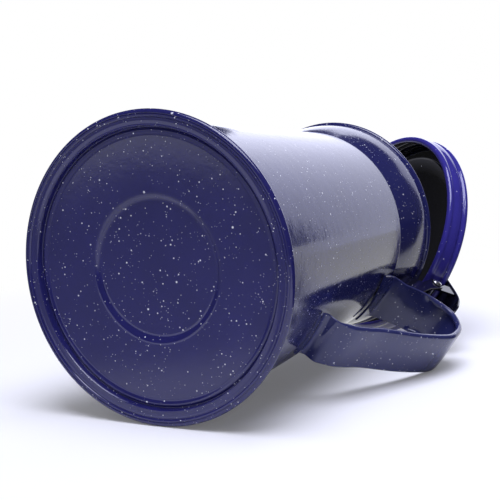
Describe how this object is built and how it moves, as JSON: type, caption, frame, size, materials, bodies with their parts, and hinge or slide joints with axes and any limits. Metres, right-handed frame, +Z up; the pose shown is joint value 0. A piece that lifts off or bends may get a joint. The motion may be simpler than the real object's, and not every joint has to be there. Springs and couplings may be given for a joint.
{
  "type": "tea kettle",
  "caption": "Speckled blue enamel kettle: tapered sheet-steel pot with seamed base, beak spout and strap handle, and a hinged domed lid with a thumb lever, stored part open.",
  "frame": {"origin": "on the plane the kettle stands on, midway between the spout's tip and the handle's outermost point, in the kettle's plane of symmetry", "axes": "+Z up along the pot's axis, +X towards the handle and the hinge, -X towards the spout"},
  "size_m": [0.1935, 0.15, 0.2917],
  "materials": {
    "body_enamel": "glossy enamel with small white specks",
    "base_enamel": "glossy enamel with small white specks",
    "spout_enamel": "glossy enamel with small white specks",
    "handle_enamel": "glossy enamel with small white specks",
    "bracket_enamel": "glossy dark enamel",
    "lid_enamel": "glossy enamel, nearly black on the underside",
    "leaf_enamel": "glossy dark enamel",
    "plated_steel": "plated",
    "black_knob": "glossy"
  },
  "bodies": {
    "pot": {"body_shell": "body_enamel", "bottom_plate": "base_enamel", "spout": "spout_enamel", "handle_strap": "handle_enamel", "hinge_bracket": "bracket_enamel", "hinge_pin": "plated_steel"},
    "lid": {"lid_shell": "lid_enamel", "lid_hinge_leaf": "leaf_enamel", "leaf_rivet_left": "plated_steel", "leaf_rivet_right": "plated_steel", "lid_knob": "black_knob", "knob_washer": "plated_steel", "knob_screw": "plated_steel"}
  },
  "joints": [
    {"name": "lid_hinge", "type": "hinge", "parent": "pot", "child": "lid", "pos_m": [0.05992, 0, 0.2002], "axis": [0, 1, 0], "range_deg": [-37.6, 45]}
  ]
}
